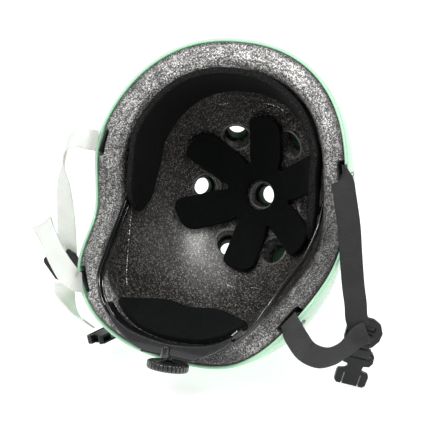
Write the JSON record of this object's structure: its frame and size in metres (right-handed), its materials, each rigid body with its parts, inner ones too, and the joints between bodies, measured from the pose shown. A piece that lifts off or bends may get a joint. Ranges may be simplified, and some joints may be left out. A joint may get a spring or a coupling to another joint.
{
  "type": "open-face sport helmet",
  "caption": "Open-face multi-sport helmet with a vented hard shell, bead-foam liner, comfort pads, dial-adjusted fit ring and a webbing chin harness with a side-release buckle.",
  "frame": {"origin": "middle of the head opening, at the level of the rim's reference plane", "axes": "+X to the wearer's left, helmet leaned back onto its crown so that the brow is up (+Z) and the opening faces -Y with a 20 degree lean; gravity along -Z"},
  "size_m": [0.3071, 0.243, 0.2633],
  "materials": {
    "shell_mint": "high gloss moulded, pale mint green",
    "bead_foam": "moulded bead foam, charcoal with a satin skin",
    "pad_cloth": "black brushed pad cloth over soft foam",
    "hook_tape": "black hook tape",
    "rivet_steel": "dark zinc plated",
    "web_black": "black woven webbing",
    "web_pale": "near-white woven webbing",
    "black_plastic": "black satin plastic",
    "clear_grey_plastic": "grey acetal",
    "clip_chrome": "bright"
  },
  "bodies": {
    "helmet": {"outer_shell": "shell_mint", "eps_liner": "bead_foam", "crown_pad": "pad_cloth", "front_pad": "pad_cloth", "pad_fasteners": "hook_tape", "shell_rivets": "rivet_steel", "rivet_washers": "rivet_steel", "webbing_anchors": "web_black", "temple_sockets": "black_plastic"},
    "fit_ring": {"temple_pins": "black_plastic", "ring_arm_left": "black_plastic", "ring_arm_right": "black_plastic"},
    "fit_cradle": {"rear_cradle": "black_plastic", "cradle_yoke": "black_plastic", "housing_cover": "black_plastic", "cover_screws": "rivet_steel", "rear_pad": "pad_cloth", "cradle_clip": "clip_chrome"},
    "rack_l": {"rack_left": "clear_grey_plastic"},
    "rack_r": {"rack_right": "clear_grey_plastic"},
    "dial": {"dial_knob": "black_plastic", "dial_pinion": "clear_grey_plastic"},
    "straps_right": {"strap_front_right": "web_black", "strap_rear_right": "web_black", "slider_right": "black_plastic", "slider_flap_right": "black_plastic"},
    "buckle_right": {"buckle_male": "black_plastic", "buckle_tab": "web_black"},
    "straps_left": {"strap_front_left": "web_pale", "strap_rear_left": "web_pale", "slider_left": "black_plastic"},
    "chin_left": {"strap_chin_left": "web_pale", "buckle_female": "black_plastic"}
  },
  "joints": [
    {"name": "ring_tilt", "type": "hinge", "parent": "helmet", "child": "fit_ring", "pos_m": [0, 0.04084, -0.01061], "axis": [-1, 0, 0], "range_deg": [0, 8]},
    {"name": "cradle_slide", "type": "slide", "parent": "fit_ring", "child": "fit_cradle", "axis": [0, 0.342, 0.9397], "range_m": [0, 0.008]},
    {"name": "dial_turn", "type": "hinge", "parent": "fit_cradle", "child": "dial", "pos_m": [0, -0.06838, -0.11771], "axis": [0, 0.342, 0.9397], "range_deg": [0, 143.3]},
    {"name": "rack_left_slide", "type": "slide", "parent": "fit_cradle", "child": "rack_l", "axis": [-1, 0, 0], "range_m": [0, 0.008]},
    {"name": "rack_right_slide", "type": "slide", "parent": "fit_cradle", "child": "rack_r", "axis": [1, 0, 0], "range_m": [0, 0.008]},
    {"name": "straps_right_swing", "type": "hinge", "parent": "helmet", "child": "straps_right", "pos_m": [0.1113, 0.0225, 0.029], "axis": [-0.1552, -0.5308, -0.8332], "range_deg": [0, 35]},
    {"name": "buckle_right_swing", "type": "hinge", "parent": "straps_right", "child": "buckle_right", "pos_m": [0.1344, 0.0104, -0.1109], "axis": [0.8754, 0.4082, -0.2588], "range_deg": [-12, 12]},
    {"name": "straps_left_swing", "type": "hinge", "parent": "helmet", "child": "straps_left", "pos_m": [-0.1113, 0.0225, 0.029], "axis": [-0.1552, 0.5308, 0.8332], "range_deg": [0, 40]},
    {"name": "chin_left_swing", "type": "hinge", "parent": "straps_left", "child": "chin_left", "pos_m": [-0.138, 0.003, -0.1005], "axis": [0.9659, 0.2588, 0], "range_deg": [-5, 15]}
  ],
  "couplings": [
    {"joint": "dial_turn", "follows": "cradle_slide", "rad_per_m": 312.5},
    {"joint": "rack_left_slide", "follows": "cradle_slide", "ratio": 1},
    {"joint": "rack_right_slide", "follows": "cradle_slide", "ratio": 1}
  ]
}
